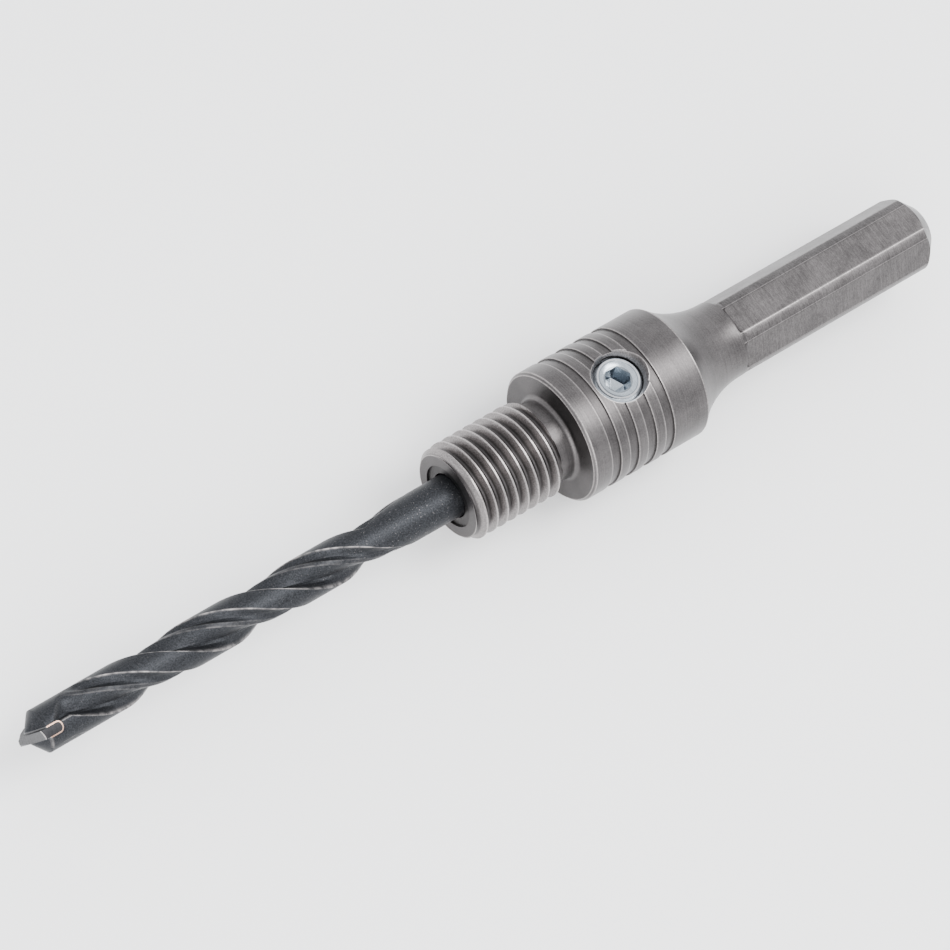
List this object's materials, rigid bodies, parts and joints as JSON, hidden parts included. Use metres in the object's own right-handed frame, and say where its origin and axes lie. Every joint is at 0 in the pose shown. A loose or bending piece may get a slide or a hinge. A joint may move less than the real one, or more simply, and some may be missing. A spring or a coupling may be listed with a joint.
{
  "type": "core bit mandrel",
  "caption": "Hex shank arbor with a threaded spigot for a core bit and a carbide tipped pilot drill clamped by a set screw.",
  "frame": {"origin": "on the turned axis, in the plane of the shoulder that a core bit screws up against", "axes": "+X along the turned axis towards the end of the hex shank, +Z out through the set screw and square to one of the hex flats; the drill points along -X"},
  "size_m": [0.175, 0.0222, 0.0222],
  "materials": {
    "arbor_steel": "turned and milled steel, satin, lightly marked",
    "black_oxide": "black oxide steel, satin, worn bright along the flute edges",
    "carbide": "ground cemented carbide",
    "copper_braze": "copper braze, satin",
    "zinc_plate": "bright zinc plate"
  },
  "bodies": {
    "arbor": {"arbor": "arbor_steel"},
    "pilot_drill": {"pilot_drill": "black_oxide", "carbide_tip": "carbide", "braze_seam": "copper_braze"},
    "set_screw": {"set_screw": "zinc_plate"}
  },
  "joints": [
    {"name": "pilot_drill_slide", "type": "slide", "parent": "arbor", "child": "pilot_drill", "axis": [-1, 0, 0], "range_m": [0, 0.04]},
    {"name": "set_screw_travel", "type": "slide", "parent": "arbor", "child": "set_screw", "axis": [0, 0, 1], "range_m": [0, 0.005]}
  ]
}
